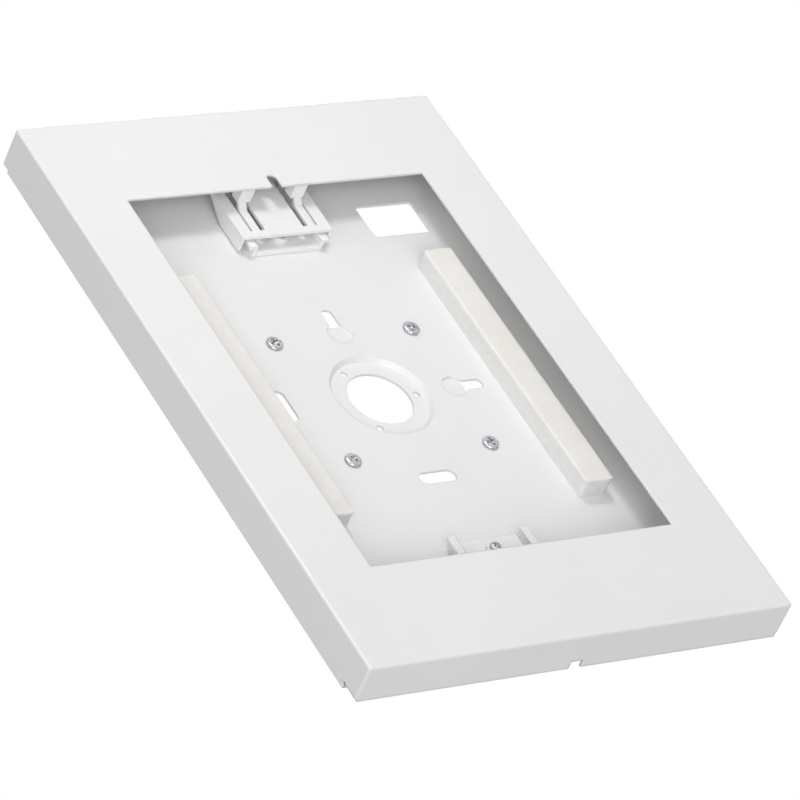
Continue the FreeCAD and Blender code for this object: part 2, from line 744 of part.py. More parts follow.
def slider_fingers(body, top):
    """Slots in the plate that leave two spring fingers, each held at its near end."""
    root = "slider_near + finger_root"
    free = "slider_near + finger_root + finger_reach"
    far = "slider_near + slider_length - slider_end_bar"
    slots = add_sketch(body, "finger_slots", offset=top)
    for side in ("-", ""):
        edges = {
            "inner_slot": f"{side} ( finger_middle - finger_width / 2 - finger_inner_slot )",
            "inner": f"{side} ( finger_middle - finger_width / 2 )",
            "outer": f"{side} ( finger_middle + finger_width / 2 )",
            "outer_slot": f"{side} ( finger_middle + finger_width / 2 + finger_outer_slot )",
        }
        polygon(slots, [
            (edges["inner_slot"], root),
            (edges["inner"], root),
            (edges["inner"], free),
            (edges["outer"], free),
            (edges["outer"], root),
            (edges["outer_slot"], root),
            (edges["outer_slot"], far),
            (edges["inner_slot"], far),
        ])
    pocket(body, "finger_cut", slots, "2 * slider_wall")


def slider_posts(body, top, under):
    """Ramp at each finger's free end that lifts a square post over the tablet's edge."""
    foot = "( slider_near + finger_root + finger_reach - ramp_foot )"
    head = f"( {foot} + ramp_run )"
    ramp = add_sketch(body, "ramp", role="YZ_Plane", offset="finger_middle - finger_width / 2")
    polygon(ramp, [
        (foot, under),
        (foot + " + ramp_foot", under),
        (head + " + ramp_foot", top + " + ramp_rise"),
        (head, top + " + ramp_rise"),
        (foot, top),
    ])
    one = pad(body, "one_ramp", ramp, "finger_width")
    both = body.newObject("PartDesign::Mirrored", body.Label + "_both_ramps")
    both.Originals = [one]
    both.MirrorPlane = (next(item for item in body.Origin.OriginFeatures if item.Role == "YZ_Plane"), [""])
    body.Tip = both
    posts = add_sketch(body, "posts", offset=top + " + ramp_rise")
    for side in ("-", ""):
        inner = f"{side} ( post_middle - post_width / 2 )"
        outer = f"{side} ( post_middle + post_width / 2 )"
        rectangle(posts, inner, outer, head, head + " + post_deep")
    pad(body, "post_heads", posts, "post_tall")


def pan_head_screw(doc, label, placement, head, shank, length):
    """Pan-head screw; its head sits on the plane Z = 0 and the shank goes below."""
    body = start_body(doc, label, placement)
    section = add_sketch(body, "section", role="XZ_Plane")
    shank_radius = f"{shank} / 2"
    head_radius = f"{head} / 2"
    polygon(section, [
        ("0", f"- {length}"),
        (shank_radius, f"- {length}"),
        (shank_radius, "0"),
        (head_radius, "0"),
        (head_radius, "screw_head_height"),
        ("0", "screw_head_height"),
    ])
    revolve(body, "turned", section)
    return body


def hex_nut(doc, label, placement, flats, hole, thick):
    """Hexagon nut lying on the plane Z = 0, with its flats facing X and -X."""
    body = start_body(doc, label, placement)
    outline = add_sketch(body, "outline")
    corner = f"( {flats} / 3 ^ 0.5 )"
    half = f"{flats} / 2"
    polygon(outline, [
        (half, f"- {corner} / 2"),
        (half, f"{corner} / 2"),
        ("0", corner),
        (f"- {half}", f"{corner} / 2"),
        (f"- {half}", f"- {corner} / 2"),
        ("0", f"- {corner}"),
    ])
    circle(outline, "0", "0", hole)
    pad(body, "nut", outline, thick)
    return body


def sideways(doc_body, across):
    """Placement of a piece drawn along Z that points out of the cover's right wall."""
    up = size_of(doc_body, LOCK_UP)
    out = size_of(doc_body, LOCK_OUT)
    turn = FreeCAD.Rotation(FreeCAD.Vector(0, 1, 0), 90)
    return STANDING * FreeCAD.Placement(FreeCAD.Vector(size_of(doc_body, across), up, out), turn)


def lock_body(doc, sheet):
    """Housing of the cam lock: a flat round head outside the wall and a barrel through it."""
    body = start_body(doc, "lock_body", sideways(sheet, "case_width / 2"))
    head = add_sketch(body, "head")
    circle(head, "0", "0", "lock_head")
    pad(body, "head_disc", head, "lock_head_thick")
    barrel = add_sketch(body, "barrel")
    circle(barrel, "0", "0", "lock_barrel")
    pad(body, "barrel_tube", barrel, "lock_reach", reverse=True)
    bore = add_sketch(body, "bore", offset="lock_head_thick")
    circle(bore, "0", "0", "lock_core + 2 * lock_running_gap")
    pocket(body, "bore_cut", bore, "2 * lock_head_thick + lock_reach")
    return body


def lock_plug(doc, sheet):
    """Turning core with the key slot outside and a square end inside that drives the cam."""
    body = start_body(doc, "lock_plug", sideways(sheet, "case_width / 2"))
    core = add_sketch(body, "core", offset="lock_head_thick - lock_face_recess")
    circle(core, "0", "0", "lock_core")
    pad(body, "core_rod", core, f"lock_head_thick - lock_face_recess + {CORE_LENGTH}", reverse=True)
    square = add_sketch(body, "square", offset=f"- {CORE_LENGTH}")
    rectangle(square, "- cam_square / 2", "cam_square / 2", "- cam_square / 2", "cam_square / 2")
    pad(body, "square_end", square, "cam_thick", reverse=True)
    key = add_sketch(body, "key_slot", offset="lock_head_thick - lock_face_recess")
    rectangle(key, "- key_slot_length / 2", "key_slot_length / 2",
              "- key_slot_width / 2", "key_slot_width / 2")
    pocket(body, "key_slot_cut", key, "key_slot_depth")
    thread = add_sketch(body, "thread", offset=f"- {CORE_LENGTH} - cam_thick")
    circle(thread, "0", "0", "cam_screw_shank")
    pocket(body, "thread_cut", thread, "cam_screw_hole", reverse=True)
    return body


def lock_cam(doc, sheet):
    """Flat cam on the core's square end; unlocked, it points towards the wall."""
    body = start_body(doc, "lock_cam", sideways(sheet, CAM_FACE + " - cam_thick"))
    arm = add_sketch(body, "arm")
    obround(arm, ("0", "0"), ("cam_reach - cam_width / 2", "0"), "cam_width")
    pad(body, "arm_plate", arm, "cam_thick")
    square = add_sketch(body, "square", offset="cam_thick")
    rectangle(square, "- cam_square / 2", "cam_square / 2", "- cam_square / 2", "cam_square / 2")
    pocket(body, "square_cut", square, "2 * cam_thick")
    return body


def lock_cam_screw(doc, sheet):
    """Screw that holds the cam on the core."""
    body = start_body(doc, "lock_cam_screw", sideways(sheet, CAM_FACE + " - cam_thick"))
    head = add_sketch(body, "head")
    circle(head, "0", "0", "cam_screw_head")
    pad(body, "head_disc", head, "cam_screw_head_thick", reverse=True)
    shank = add_sketch(body, "shank")
    circle(shank, "0", "0", "cam_screw_shank")
    pad(body, "shank_rod", shank, "cam_screw_length")
    return body


def tray_screws(doc, sheet):
    """Four screws that hold the tray on the wall plate, at the corners of a square."""
    half = size_of(sheet, "pattern / 2")
    seat = size_of(sheet, TRAY_FRONT)
    screws = []
    for number, (across, up) in enumerate(((-1, 1), (1, 1), (-1, -1), (1, -1)), start=1):
        place = FreeCAD.Placement(FreeCAD.Vector(across * half, up * half, seat), FreeCAD.Rotation())
        label = f"tray_screw_{number}"
        screws.append(pan_head_screw(doc, label, STANDING * place, "screw_head", "screw_shank",
                                     "tray_screw_length"))
    return screws


def holder(doc, sheet, end, turn, shift):
    """One tablet holder: base, slider, screw and nut; turn puts it at its end of the tray."""
    slide = FreeCAD.Placement(FreeCAD.Vector(0, shift, 0), FreeCAD.Rotation())
    along = size_of(sheet, "holder_screw_place")
    seat = FreeCAD.Vector(0, along, size_of(sheet, TRAY_FRONT + " + boss_height"))
    nut_seat = FreeCAD.Vector(0, along, size_of(sheet, TRAY_BACK + " - nut_thick"))
    flat = FreeCAD.Rotation()
    place = STANDING * turn
    return [
        holder_base(doc, "holder_base_" + end, place),
        holder_slider(doc, "holder_slider_" + end, place * slide),
        pan_head_screw(doc, "holder_screw_" + end, place * FreeCAD.Placement(seat, flat),
                       "holder_screw_head", "holder_screw_shank", "( boss_height + sheet + nut_thick )"),
        hex_nut(doc, "holder_nut_" + end, place * FreeCAD.Placement(nut_seat, flat),
                "nut_flats", "nut_hole", "nut_thick"),
    ]


def lock_nut(doc, sheet):
    """Nut that clamps the lock's housing in the wall of the cover."""
    place = sideways(sheet, "case_width / 2 - sheet - lock_nut_thick")
    return hex_nut(doc, "lock_nut", place, "lock_nut_flats", "lock_barrel", "lock_nut_thick")


def build():
    doc = FreeCAD.newDocument("tablet_wall_mount")
    sheet = make_sheet(doc)
    upright = FreeCAD.Placement()
    pieces = [front_cover(doc), rear_tray(doc), wall_plate(doc)]
    pieces += tray_screws(doc, sheet)
    pieces += [foam_pad(doc, "foam_pad_left", "-"), foam_pad(doc, "foam_pad_right", "+")]
    pieces += holder(doc, sheet, "top", upright, 0.0)
    pieces += holder(doc, sheet, "bottom", HALF_TURN, size_of(sheet, "bottom_slider_shift"))
    pieces += [lock_body(doc, sheet), lock_nut(doc, sheet), lock_plug(doc, sheet)]
    pieces += [lock_cam(doc, sheet), lock_cam_screw(doc, sheet)]
    doc.recompute()
    return doc, pieces


def check(doc, pieces):
    """Stops before anything is written if an object failed or a piece is not one valid solid."""
    for item in doc.Objects:
        if "Invalid" in item.State or "Error" in item.State:
            raise RuntimeError(f"{item.Name} is {item.State}")
    for piece in pieces:
        if piece.Shape.isNull() or not piece.Shape.isValid() or len(piece.Shape.Solids) != 1:
            raise RuntimeError(f"{piece.Label} is not one valid solid")


def write(pieces):
    os.makedirs("parts", exist_ok=True)
    for piece in pieces:
        piece.Shape.exportStep(f"parts/{piece.Label}.step")
        box = piece.Shape.BoundBox
        print(f"{piece.Label:22s} {piece.Shape.Volume:10.1f} mm3  X {box.XMin:8.2f} {box.XMax:8.2f}"
              f"  Y {box.YMin:8.2f} {box.YMax:8.2f}  Z {box.ZMin:8.2f} {box.ZMax:8.2f}")


document, solids = build()
check(document, solids)
write(solids)
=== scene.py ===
import math

import bmesh
import bpy
from mathutils import Matrix, Vector, noise


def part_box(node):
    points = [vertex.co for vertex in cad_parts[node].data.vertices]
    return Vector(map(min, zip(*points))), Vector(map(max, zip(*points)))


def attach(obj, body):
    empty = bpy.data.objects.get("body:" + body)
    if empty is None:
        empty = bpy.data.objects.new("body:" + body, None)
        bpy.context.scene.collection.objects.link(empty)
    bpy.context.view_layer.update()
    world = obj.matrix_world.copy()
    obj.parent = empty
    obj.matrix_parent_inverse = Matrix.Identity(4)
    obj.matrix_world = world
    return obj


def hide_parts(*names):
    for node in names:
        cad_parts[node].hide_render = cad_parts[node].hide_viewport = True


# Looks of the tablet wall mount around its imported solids, in metres: +Z up, the front faces -Y.

MM = 0.001


def add_object(name, data):
    """New object in the scene."""
    thing = bpy.data.objects.new(name, data)
    bpy.context.scene.collection.objects.link(thing)
    return thing


# Materials

NOISE_LOW = 0.35
NOISE_HIGH = 0.65
TONE_LOW = 0.3
TONE_HIGH = 0.7
BEVEL_SAMPLES = 8


def new_material(name, colour, roughness, metallic=0.0):
    """Material with one Principled shader; gives the material, its node tree and the shader."""
    material = bpy.data.materials.new(name)
    material.use_nodes = True
    tree = material.node_tree
    shader = tree.nodes["Principled BSDF"]
    shader.inputs["Base Color"].default_value = (*colour, 1.0)
    shader.inputs["Roughness"].default_value = roughness
    shader.inputs["Metallic"].default_value = metallic
    return material, tree, shader


def texture_place(tree):
    """Place on the object in metres, the same for every texture of a material."""
    return tree.nodes.new("ShaderNodeTexCoord").outputs["Object"]


def noise_texture(tree, place, size, detail):
    """Noise whose lumps are about the given size in metres."""
    node = tree.nodes.new("ShaderNodeTexNoise")
    node.inputs["Scale"].default_value = 1.0 / size
    node.inputs["Detail"].default_value = detail
    tree.links.new(place, node.inputs["Vector"])
    return node.outputs["Fac"]


def cell_texture(tree, place, size):
    """Distance to the nearest of many scattered points, for foam cells and metal spangle."""
    node = tree.nodes.new("ShaderNodeTexVoronoi")
    node.inputs["Scale"].default_value = 1.0 / size
    tree.links.new(place, node.inputs["Vector"])
    return node.outputs["Distance"]


def two_tone(tree, shader, value, dark, light):
    """Base colour between two tones, driven by a texture."""
    ramp = tree.nodes.new("ShaderNodeValToRGB")
    stops = ramp.color_ramp.elements
    for stop, position, tone in ((stops[0], TONE_LOW, dark), (stops[1], TONE_HIGH, light)):
        stop.position = position
        stop.color = (*tone, 1.0)
    tree.links.new(value, ramp.inputs["Fac"])
    tree.links.new(ramp.outputs["Color"], shader.inputs["Base Color"])


def vary_roughness(tree, shader, value, low, high):
    """Roughness between two numbers, driven by a texture's middle range."""
    node = tree.nodes.new("ShaderNodeMapRange")
    node.inputs["From Min"].default_value = NOISE_LOW
    node.inputs["From Max"].default_value = NOISE_HIGH
    node.inputs["To Min"].default_value = low
    node.inputs["To Max"].default_value = high
    tree.links.new(value, node.inputs["Value"])
    tree.links.new(node.outputs["Result"], shader.inputs["Roughness"])


def relief(tree, shader, bumps, edge_radius=0.0):
    """Bumps on top of each other, over edges that catch light as if rounded by edge_radius.

    Each bump is a texture, its depth and its strength.
    """
    normal = None
    if edge_radius:
        bevel = tree.nodes.new("ShaderNodeBevel")
        bevel.samples = BEVEL_SAMPLES
        bevel.inputs["Radius"].default_value = edge_radius
        normal = bevel.outputs["Normal"]
    for value, depth, strength in bumps:
        bump = tree.nodes.new("ShaderNodeBump")
        bump.inputs["Distance"].default_value = depth
        bump.inputs["Strength"].default_value = strength
        tree.links.new(value, bump.inputs["Height"])
        if normal:
            tree.links.new(normal, bump.inputs["Normal"])
        normal = bump.outputs["Normal"]
    tree.links.new(normal, shader.inputs["Normal"])


def powder_coat(name, edge_radius):
    """White satin powder coat: faint orange peel, finer grain, edges softened by the coat."""
    material, tree, shader = new_material(name, (0.82, 0.82, 0.815), roughness=0.34)
    place = texture_place(tree)
    cloud = noise_texture(tree, place, size=45 * MM, detail=3.0)
    peel = noise_texture(tree, place, size=1.6 * MM, detail=2.0)
    grain = noise_texture(tree, place, size=0.35 * MM, detail=1.0)
    two_tone(tree, shader, cloud, dark=(0.808, 0.808, 0.806), light=(0.832, 0.832, 0.828))
    vary_roughness(tree, shader, peel, low=0.31, high=0.38)
    relief(tree, shader, [(peel, 0.008 * MM, 0.4), (grain, 0.003 * MM, 0.4)], edge_radius)
    return material


def holder_plastic():
    """White moulded plastic with a fine spark-eroded grain."""
    colour = (0.86, 0.862, 0.865)
    material, tree, shader = new_material("holder_plastic", colour, roughness=0.3)
    place = texture_place(tree)
    cloud = noise_texture(tree, place, size=12 * MM, detail=2.0)
    grain = noise_texture(tree, place, size=0.22 * MM, detail=2.0)
    two_tone(tree, shader, cloud, dark=(0.85, 0.852, 0.856), light=(0.87, 0.872, 0.875))
    vary_roughness(tree, shader, grain, low=0.25, high=0.36)
    shader.inputs["Subsurface Weight"].default_value = 0.08
    shader.inputs["Subsurface Radius"].default_value = (1.2 * MM, 1.0 * MM, 0.8 * MM)
    relief(tree, shader, [(grain, 0.01 * MM, 0.5)], edge_radius=0.55 * MM)
    return material


def foam_skin():
    """Smooth cream skin on the front of a foam strip."""
    material, tree, shader = new_material("foam_skin", (0.84, 0.818, 0.78), roughness=0.78)
    place = texture_place(tree)
    cloud = noise_texture(tree, place, size=9 * MM, detail=3.0)
    cells = cell_texture(tree, place, size=0.7 * MM)
    two_tone(tree, shader, cloud, dark=(0.822, 0.8, 0.762), light=(0.86, 0.84, 0.804))
    vary_roughness(tree, shader, cloud, low=0.7, high=0.85)
    shader.inputs["Sheen Weight"].default_value = 0.15
    relief(tree, shader, [(cells, 0.03 * MM, 0.35)])
    return material


def foam_cut():
    """Cut side of a foam strip, with open cells."""
    material, tree, shader = new_material("foam_cut", (0.8, 0.8, 0.79), roughness=0.85)
    place = texture_place(tree)
    cells = cell_texture(tree, place, size=0.45 * MM)
    cloud = noise_texture(tree, place, size=3 * MM, detail=3.0)
    two_tone(tree, shader, cloud, dark=(0.775, 0.775, 0.765), light=(0.82, 0.82, 0.812))
    vary_roughness(tree, shader, cloud, low=0.8, high=0.92)
    relief(tree, shader, [(cells, 0.12 * MM, 0.6), (cloud, 0.1 * MM, 0.3)])
    return material


def zinc():
    """Bright zinc plating with a cool tint, a cloudy sheen and a fine spangle."""
    colour = (0.5, 0.505, 0.525)
    material, tree, shader = new_material("zinc", colour, roughness=0.26, metallic=1.0)
    place = texture_place(tree)
    spangle = cell_texture(tree, place, size=0.5 * MM)
    cloud = noise_texture(tree, place, size=0.9 * MM, detail=3.0)
    two_tone(tree, shader, cloud, dark=(0.36, 0.365, 0.385), light=(0.62, 0.628, 0.65))
    vary_roughness(tree, shader, cloud, low=0.18, high=0.34)
    relief(tree, shader, [(spangle, 0.01 * MM, 0.4)], edge_radius=0.1 * MM)
    return material


def lock_chrome():
    """Bright plating of the lock's pieces, with faint polishing marks."""
    colour = (0.72, 0.72, 0.73)
    material, tree, shader = new_material("lock_metal", colour, roughness=0.18, metallic=1.0)
    place = texture_place(tree)
    marks = noise_texture(tree, place, size=0.6 * MM, detail=4.0)
    two_tone(tree, shader, marks, dark=(0.66, 0.66, 0.67), light=(0.76, 0.76, 0.77))
    vary_roughness(tree, shader, marks, low=0.12, high=0.26)
    relief(tree, shader, [(marks, 0.004 * MM, 0.4)], edge_radius=0.3 * MM)
    return material


def dress_solid(node, material):
    """Gives a solid's material slots the finish."""
    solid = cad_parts[node]
    if not solid.data.materials:
        solid.data.materials.append(material)
    for number in range(len(solid.material_slots)):
        solid.material_slots[number].material = material


# Mesh helpers

METAL_SHARP = 30.0
FOAM_SHARP = 60.0


def finish_piece(name, maker, materials, body, replaced, sharp_angle):
    """Object from a bmesh that rides on a body and stands for a solid."""
    data = bpy.data.meshes.new(name)
    maker.normal_update()
    maker.to_mesh(data)
    maker.free()
    for material in materials:
        data.materials.append(material)
    data.shade_smooth()
    data.set_sharp_from_angle(angle=math.radians(sharp_angle))
    piece = add_object(name, data)
    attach(piece, body)
    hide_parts(replaced)
    return piece


def ring_rows(maker, rows, place):
    """Skins rows of points, each row closed on itself, and caps both ends with a middle point."""
    built = [[maker.verts.new(place @ Vector(point)) for point in row] for row in rows]
    count = len(built[0])
    for low, high in zip(built, built[1:]):
        for this in range(count):
            after = (this + 1) % count
            maker.faces.new((low[this], low[after], high[after], high[this]))
    for row, turned in ((built[0], True), (built[-1], False)):
        middle = sum((vert.co for vert in row), Vector()) / count
        centre = maker.verts.new(middle)
        for this in range(count):
            after = (this + 1) % count
            corners = (row[this], row[after], centre)
            maker.faces.new(corners[::-1] if turned else corners)


def facing_front(across, out, up):
    """Matrix that turns a piece drawn along its own Z so that it points out of the front."""
    return Matrix.Translation((across, out, up)) @ Matrix.Rotation(math.radians(90), 4, "X")


def polar(reach, turn):
    """Point at a distance from the middle, in the direction of an angle."""
    return reach * math.cos(turn), reach * math.sin(turn)


def smooth_step(value):
    """0 up to 0, 1 from 1 on, and a soft rise between them."""
    clipped = min(max(value, 0.0), 1.0)
    return clipped * clipped * (3 - 2 * clipped)


# Screws. Shares are of the head's radius, and the side's share is of its height.

SCREW_SIDES = 96
HEAD_HEIGHT = 2.1 * MM
SEAT_INSET = 0.1 * MM
SEAT_RISE = 0.08 * MM
SIDE_SHARE = 0.42
SHOULDER_SHARE = 0.32
SHOULDER_STEPS = 10
CROWN_SHARE = 0.07
CROWN_RINGS = 30
CROSS_REACH = 0.6
CROSS_HALF_WIDTH = 0.15
CROSS_DEPTH = 1.5 * MM
CROSS_RISE = 0.55
CROSS_SOFT = 0.035
TRAY_SHANK = 1.95 * MM
HOLDER_SHANK = 1.45 * MM
THREAD_SIDES = 48
THREAD_ROWS_A_TURN = 8
THREAD_PITCH = 0.6 * MM
THREAD_DEPTH = 0.2 * MM
TIP_LENGTH = 0.6 * MM
TIP_SHARE = 0.8


def cross_depth(across, up, radius):
    """Depth of the cross recess below the crown at one place; its arms grow with the head."""
    near = min(abs(across), abs(up)) / radius
    far = max(abs(across), abs(up)) / radius
    inside = smooth_step((CROSS_HALF_WIDTH - near) / CROSS_SOFT + 0.5)
    within = smooth_step((CROSS_REACH - far) / CROSS_SOFT + 0.5)
    return CROSS_DEPTH * inside * within * (1 - CROSS_RISE * far / CROSS_REACH)


def head_rows(radius):
    """Rows of a domed head from its seat up its side and in over the crown to the middle."""
    side = SIDE_SHARE * HEAD_HEIGHT
    crown = CROWN_SHARE * radius
    shoulder = SHOULDER_SHARE * radius
    flat_radius = radius - shoulder
    profile = [(radius - SEAT_INSET, 0.0), (radius, SEAT_RISE), (radius, side)]
    for step in range(1, SHOULDER_STEPS + 1):
        turn = math.radians(90 * step / SHOULDER_STEPS)
        profile.append((flat_radius + shoulder * math.cos(turn),
                        side + (HEAD_HEIGHT - side - crown) * math.sin(turn)))
    crown_base = profile[-1][1]
    for ring in range(1, CROWN_RINGS):
        reach = flat_radius * (1 - ring / CROWN_RINGS)
        profile.append((reach, crown_base + crown * (1 - (reach / flat_radius) ** 2)))
    rows = []
    for reach, rise in profile:
        row = []
        for side_number in range(SCREW_SIDES):
            across, up = polar(reach, 2 * math.pi * side_number / SCREW_SIDES)
            row.append((across, up, rise - cross_depth(across, up, radius)))
        rows.append(row)
    return rows


def thread_rows(radius, length):
    """Rows of a threaded shank from its tapered tip up to the seat at height 0."""
    count = max(int(length / THREAD_PITCH * THREAD_ROWS_A_TURN), 2)
    rows = []
    for number in range(count + 1):
        height = -length + length * number / count
        taper = min((height + length) / TIP_LENGTH, 1.0)
        row = []
        for side_number in range(THREAD_SIDES):
            share = side_number / THREAD_SIDES
            phase = (height / THREAD_PITCH - share) % 1.0
            groove = THREAD_DEPTH * abs(2 * phase - 1)
            reach = (radius - groove) * (TIP_SHARE + (1 - TIP_SHARE) * taper)
            row.append((*polar(reach, 2 * math.pi * share), height))
        rows.append(row)
    return rows


def pan_screw(node, shank_radius, material, turn):
    """Domed screw in the place of its solid; turn is how its cross recess happens to stand."""
    low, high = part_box(node)
    middle = (low + high) / 2
    seat = low.y + HEAD_HEIGHT
    place = facing_front(middle.x, seat, middle.z) @ Matrix.Rotation(math.radians(turn), 4, "Z")
    maker = bmesh.new()
    ring_rows(maker, head_rows((high.x - low.x) / 2), place)
    ring_rows(maker, thread_rows(shank_radius, high.y - seat), place)
    finish_piece(node + "_detail", maker, [material], "mount", node, METAL_SHARP)


# Nuts. The flat of each face ends at a circle whose radius is a share of the width over flats.

NUT_SIDES = 96
NUT_BORE = 1.45 * MM
NUT_SINK = 0.35 * MM
NUT_ROUND_SHARE = 0.48
NUT_BEVEL_SLOPE = math.tan(math.radians(28))


def hexagon_reach(turn, flats):
    """Distance from the middle to a hexagon's side in one direction."""
    sixth = math.pi / 3
    return flats / 2 / math.cos((turn + sixth / 2) % sixth - sixth / 2)


def hex_nut(node, material):
    """Hexagon nut with its corners bevelled on both faces and a countersunk bore."""
    low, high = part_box(node)
    middle = (low + high) / 2
    flats = high.x - low.x
    thick = high.y - low.y
    place = facing_front(middle.x, high.y, middle.z)
    round_reach = NUT_ROUND_SHARE * flats
    sink_reach = NUT_BORE + NUT_SINK
    maker = bmesh.new()
    grid = []
    for number in range(NUT_SIDES):
        turn = 2 * math.pi * number / NUT_SIDES
        reach = hexagon_reach(turn, flats)
        drop = (reach - round_reach) * NUT_BEVEL_SLOPE
        profile = [
            (NUT_BORE, NUT_SINK), (sink_reach, 0.0),
            (round_reach, 0.0), (reach, drop),
            (reach, thick - drop), (round_reach, thick),
            (sink_reach, thick), (NUT_BORE, thick - NUT_SINK),
        ]
        grid.append([maker.verts.new(place @ Vector((*polar(out, turn), rise)))
                     for out, rise in profile])
    points = len(grid[0])
    for number in range(NUT_SIDES):
        this = grid[number]
        after = grid[(number + 1) % NUT_SIDES]
        for point in range(points):
            follow = (point + 1) % points
            maker.faces.new((this[point], after[point], after[follow], this[follow]))
    bmesh.ops.recalc_face_normals(maker, faces=maker.faces)
    finish_piece(node + "_detail", maker, [material], "mount", node, METAL_SHARP)


# Foam strips. A wave is how many it has in a metre and how high it is.

FOAM_STEP = 1.2 * MM
FOAM_EDGE = 1.3 * MM
FOAM_CORNER = 2.6 * MM
FOAM_PULL = 0.25 * MM
FOAM_END = 4.0 * MM
FOAM_SKIN = 1.0 * MM
SKIN_FACING = -0.4
BLEND_START = 0.5
BLEND_SHARE = 0.2
FOAM_WAVES = ((60, 0.1 * MM), (400, 0.03 * MM))
FOAM_SINK = 0.02 * MM
TAPE_INSET = 0.4 * MM
TAPE_THICK = 0.7 * MM


def rounded(place, half, radius, axes):
    """Moves a point of a box onto the same box with the edges between some axes rounded."""
    core = place.copy()
    for axis in axes:
        limit = half[axis] - radius
        core[axis] = min(max(place[axis], -limit), limit)
    out = place - core
    return core + out.normalized() * radius if out.length > radius else place.copy()


def foam_shape(place, half):
    """Point on the strip's soft surface for a point on its plain box, about the middle."""
    cut = rounded(place, half, FOAM_CORNER, (0, 2))
    soft = rounded(cut, half, FOAM_EDGE, (0, 1, 2))
    from_back = half.y - place.y
    back_share = 1 - from_back / (2 * half.y)
    soft = soft.lerp(cut, smooth_step((back_share - BLEND_START) / BLEND_SHARE))
    waist = max(1 - (2 * (back_share - 0.5)) ** 2, 0.0)
    pull = FOAM_PULL * waist + TAPE_INSET * smooth_step(2 - from_back / TAPE_THICK)
    to_side = smooth_step(abs(place.x) / half.x * 2 - 1)
    to_end = smooth_step((abs(place.z) - half.z + FOAM_END) / FOAM_END)
    soft.x -= math.copysign(pull, place.x) * to_side
    soft.z -= math.copysign(pull, place.z) * to_end
    wave = sum(noise.noise(soft * waves) * height for waves, height in FOAM_WAVES)
    soft.y += (abs(wave) + FOAM_SINK) * (1 - back_share)
    return soft


def foam_strip(node, skin, cut):
    """Soft strip: rounded front edges, sides that pull in a little, and a skin on its front."""
    low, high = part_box(node)
    middle = (low + high) / 2
    half = (high - low) / 2
    maker = bmesh.new()
    counts = [max(int(round(2 * size / FOAM_STEP)), 4) for size in half]
    seen = {}

    def corner(index):
        """Point of the box's grid, which is closer near the edges; neighbours share it."""
        if index not in seen:
            place = Vector(tuple(-size * math.cos(math.pi * number / count)
                                 for size, number, count in zip(half, index, counts)))
            seen[index] = maker.verts.new(middle + foam_shape(place, half))
        return seen[index]

    for axis in range(3):
        first, second = [other for other in range(3) if other != axis]
        for end in (0, counts[axis]):
            for one in range(counts[first]):
                for two in range(counts[second]):
                    corners = []
                    for step_one, step_two in ((0, 0), (1, 0), (1, 1), (0, 1)):
                        index = [0, 0, 0]
                        index[axis] = end
                        index[first] = one + step_one
                        index[second] = two + step_two
                        corners.append(corner(tuple(index)))
                    maker.faces.new(corners)
    bmesh.ops.recalc_face_normals(maker, faces=maker.faces)
    front = low.y + FOAM_SKIN
    for face in maker.faces:
        on_front = face.calc_center_median().y < front and face.normal.y < SKIN_FACING
        face.material_index = 0 if on_front else 1
    piece = finish_piece(node + "_soft", maker, [skin, cut], "mount", node, FOAM_SHARP)


# Stage, light and camera. Each lamp has a name, a place, a width and a power.

CAMERA_PLACE = Vector((-1.4618, -1.5623, -1.4239))
CAMERA_FORWARD = Vector((0.5718, 0.6065, 0.5525))
CAMERA_UP = Vector((0.0982, -0.7192, 0.6878))
CAMERA_LENS = 258.8
CAMERA_SENSOR = 36.0
CAMERA_END = 50.0
FLOOR_HEIGHT = -4.0
FLOOR_HALF = 8.0
FLOOR_TONE = (0.9, 0.9, 0.9)
FLOOR_ROUGHNESS = 0.8
FLOOR_SPECULAR = 0.2
FLOOR_GLOW = 0.8
SKY_WHITE = 1.0
AMBIENT = 0.415
LAMPS = (
    ("key", Vector((-0.05, -0.6, 0.27)), 0.17, 1.29),
    ("fill", Vector((-1.53, -2.04, -2.24)), 2.4, 61.0),
    ("side", Vector((-3.0, -1.6, -0.3)), 2.0, 9.0),
)


def area_light(name, place, size, power):
    """Round lamp that points at the middle of the mount."""
    data = bpy.data.lights.new(name, "AREA")
    data.shape = "DISK"
    data.size = size
    data.energy = power
    lamp = add_object(name, data)
    lamp.location = place
    lamp.rotation_euler = (-place).to_track_quat("-Z", "Y").to_euler()


def straight_view(tree):
    """1 for rays from the camera, a reflection or a clear material, 0 for light on a surface."""
    rays = tree.nodes.new("ShaderNodeLightPath")
    seen = rays.outputs["Is Camera Ray"]
    for other in ("Is Glossy Ray", "Is Transmission Ray"):
        either = tree.nodes.new("ShaderNodeMath")
        either.operation = "MAXIMUM"
        tree.links.new(seen, either.inputs[0])
        tree.links.new(rays.outputs[other], either.inputs[1])
        seen = either.outputs["Value"]
    return seen


def mix_shaders(tree, share, first, second):
    """Goes from the first shader at share 0 to the second at share 1."""
    mix = tree.nodes.new("ShaderNodeMixShader")
    tree.links.new(share, mix.inputs["Fac"])
    tree.links.new(first, mix.inputs[1])
    tree.links.new(second, mix.inputs[2])
    return mix.outputs["Shader"]


def white_background(tree, strength):
    """White light from everywhere."""
    node = tree.nodes.new("ShaderNodeBackground")
    node.inputs["Color"].default_value = (1.0, 1.0, 1.0, 1.0)
    node.inputs["Strength"].default_value = strength
    return node.outputs["Background"]


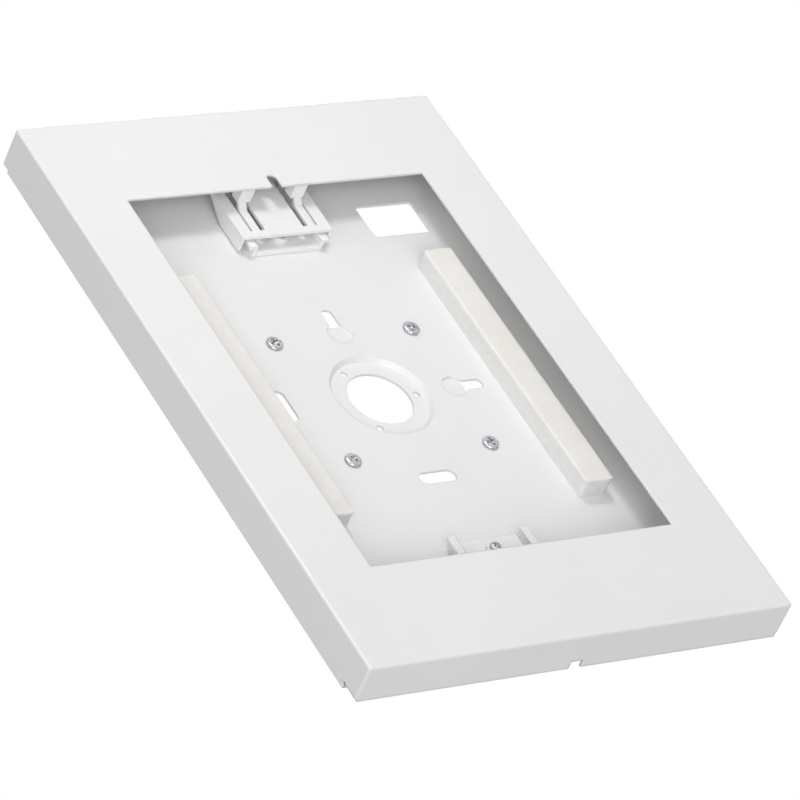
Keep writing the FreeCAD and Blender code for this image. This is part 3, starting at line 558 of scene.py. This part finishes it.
def set_world():
    """Even grey daylight on surfaces; white where the camera or a reflection sees past them."""
    world = bpy.data.worlds.new("studio")
    bpy.context.scene.world = world
    world.use_nodes = True
    tree = world.node_tree
    tree.nodes.clear()
    output = tree.nodes.new("ShaderNodeOutputWorld")
    ambient = white_background(tree, AMBIENT)
    white = white_background(tree, SKY_WHITE)
    mixed = mix_shaders(tree, straight_view(tree), ambient, white)
    tree.links.new(mixed, output.inputs["Surface"])


def add_floor():
    """Plain pale floor well below the mount, which hangs on a wall."""
    data = bpy.data.meshes.new("floor")
    corners = [(x * FLOOR_HALF, y * FLOOR_HALF, FLOOR_HEIGHT)
               for x, y in ((-1, -1), (1, -1), (1, 1), (-1, 1))]
    data.from_pydata(corners, [], [(0, 1, 2, 3)])
    floor = add_object("floor", data)
    material, tree, shader = new_material("floor_white", FLOOR_TONE, FLOOR_ROUGHNESS)
    shader.inputs["Specular IOR Level"].default_value = FLOOR_SPECULAR
    pale = tree.nodes.new("ShaderNodeEmission")
    pale.inputs["Color"].default_value = (*FLOOR_TONE, 1.0)
    share = tree.nodes.new("ShaderNodeMath")
    share.operation = "MULTIPLY"
    share.inputs[1].default_value = FLOOR_GLOW
    tree.links.new(straight_view(tree), share.inputs[0])
    mixed = mix_shaders(
        tree, share.outputs["Value"], shader.outputs["BSDF"], pale.outputs["Emission"])
    tree.links.new(mixed, tree.nodes["Material Output"].inputs["Surface"])
    data.materials.append(material)


def add_camera():
    """The photo's camera: from below on the left, looking up at the front."""
    data = bpy.data.cameras.new("camera")
    data.lens = CAMERA_LENS
    data.sensor_width = CAMERA_SENSOR
    data.clip_end = CAMERA_END
    camera = add_object("camera", data)
    back = -CAMERA_FORWARD.normalized()
    right = CAMERA_UP.cross(back).normalized()
    up = back.cross(right)
    turned = Matrix((right, up, back)).transposed().to_4x4()
    camera.matrix_world = Matrix.Translation(CAMERA_PLACE) @ turned
    bpy.context.scene.camera = camera


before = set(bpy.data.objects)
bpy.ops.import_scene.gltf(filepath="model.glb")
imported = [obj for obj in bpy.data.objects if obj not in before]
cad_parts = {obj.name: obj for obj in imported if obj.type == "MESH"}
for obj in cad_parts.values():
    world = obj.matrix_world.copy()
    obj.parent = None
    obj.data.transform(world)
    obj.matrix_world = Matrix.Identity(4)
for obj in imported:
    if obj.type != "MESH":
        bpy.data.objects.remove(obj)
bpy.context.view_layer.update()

bpy.context.scene.view_settings.view_transform = "Standard"
add_camera()
set_world()
add_floor()
for lamp_name, lamp_place, lamp_size, lamp_power in LAMPS:
    area_light(lamp_name, lamp_place, lamp_size, lamp_power)

COAT = powder_coat("powder_coat", edge_radius=0.5 * MM)
COVER_COAT = powder_coat("powder_coat_cover", edge_radius=1.4 * MM)
PLASTIC = holder_plastic()
ZINC = zinc()
CHROME = lock_chrome()

dress_solid("front_cover", COVER_COAT)
for coated in ("rear_tray", "wall_plate"):
    dress_solid(coated, COAT)
for end in ("top", "bottom"):
    dress_solid("holder_base_" + end, PLASTIC)
    dress_solid("holder_slider_" + end, PLASTIC)
for lock_piece in ("lock_body", "lock_nut", "lock_plug", "lock_cam", "lock_cam_screw"):
    dress_solid(lock_piece, CHROME)

for number, recess_turn in ((1, 20), (2, 65), (3, 38), (4, 8)):
    pan_screw(f"tray_screw_{number}", TRAY_SHANK, ZINC, recess_turn)
for end, recess_turn in (("top", 50), ("bottom", 30)):
    pan_screw("holder_screw_" + end, HOLDER_SHANK, ZINC, recess_turn)
for end in ("top", "bottom"):
    hex_nut("holder_nut_" + end, ZINC)

SKIN = foam_skin()
CUT = foam_cut()
for side in ("left", "right"):
    foam_strip("foam_pad_" + side, SKIN, CUT)
